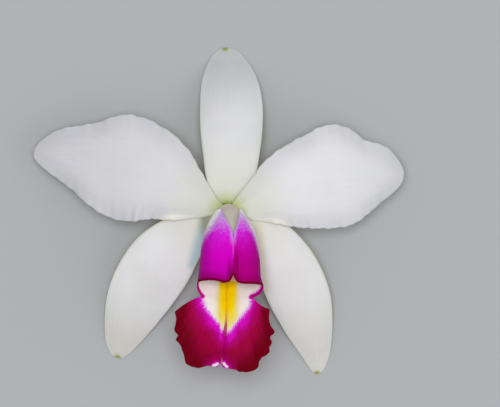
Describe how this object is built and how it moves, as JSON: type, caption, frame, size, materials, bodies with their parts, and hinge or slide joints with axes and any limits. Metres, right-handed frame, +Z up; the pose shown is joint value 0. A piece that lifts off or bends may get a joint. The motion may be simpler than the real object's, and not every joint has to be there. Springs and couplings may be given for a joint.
{
  "type": "cattleya orchid bloom",
  "caption": "Cattleya orchid bloom, as picked, lying face up: white petals and sepals, a magenta tubular lip with a crimson ruffled lobe and a yellow throat, and a ribbed green stalk.",
  "frame": {"origin": "on the surface that the bloom lies on, under the middle of its spread", "axes": "+Z up out of the face of the bloom; +X to the bloom's right petal as seen from above; +Y towards the tip of the dorsal sepal"},
  "size_m": [0.1118, 0.0992, 0.0434],
  "materials": {
    "sepal": "fresh white petal tissue, satin, green tip",
    "petal": "fresh white petal tissue, satin",
    "lip": "fresh magenta and crimson petal tissue, velvety",
    "column": "fresh fleshy tissue, waxy",
    "anther_cap": "fresh fleshy tissue, waxy",
    "pollinia": "hard waxy pollen",
    "stalk": "fresh green stalk, satin, dry cut end"
  },
  "bodies": {
    "root": {"sepal_dorsal": "sepal", "sepal_lateral_left": "sepal", "sepal_lateral_right": "sepal", "petal_left": "petal", "petal_right": "petal", "lip": "lip", "column": "column", "anther_cap": "anther_cap", "pollinia": "pollinia", "ovary_pedicel": "stalk"}
  },
  "joints": []
}
